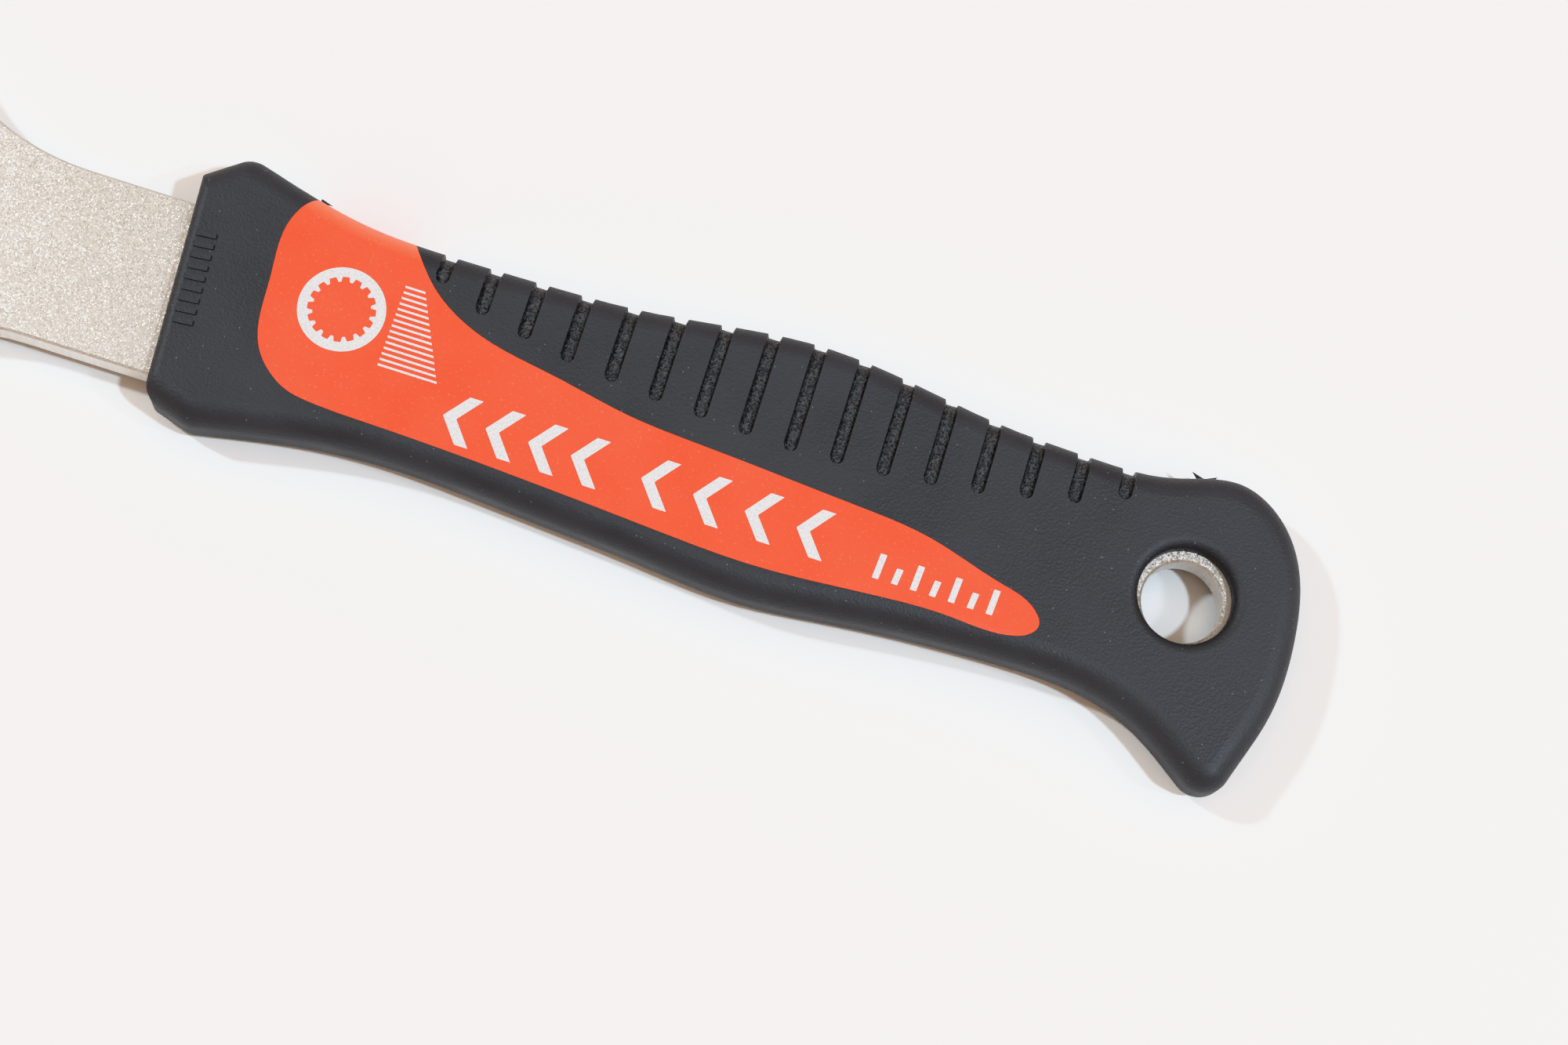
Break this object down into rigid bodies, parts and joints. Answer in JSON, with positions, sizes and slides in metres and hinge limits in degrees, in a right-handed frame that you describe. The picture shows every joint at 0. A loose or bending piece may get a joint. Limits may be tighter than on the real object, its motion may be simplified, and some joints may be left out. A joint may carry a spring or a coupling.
{
  "type": "bottom bracket ring wrench",
  "caption": "Flat steel ring wrench for notched bicycle bottom bracket cups, with a moulded plastic and rubber handle that ends in a hanging hole.",
  "frame": {"origin": "centre of the notched ring, half way through the plate", "axes": "+X along the tool from the ring to the butt of the handle, +Y towards the grooved side of the handle, +Z out of the printed face"},
  "size_m": [0.2361, 0.06, 0.0092],
  "materials": {
    "blasted_steel": "bead-blasted nickel-plated steel, fine sparkling grain, smoother sheared edges",
    "orange_plastic": "moulded satin plastic with a fine spark-eroded grain",
    "black_rubber": "matt soft-touch rubber with a fine grain, rougher in the groove floors",
    "printed_ink": "thin pad-printed silver-grey ink"
  },
  "bodies": {
    "root": {"spanner_plate": "blasted_steel", "handle_core": "orange_plastic", "grip_cover": "black_rubber"}
  },
  "joints": []
}
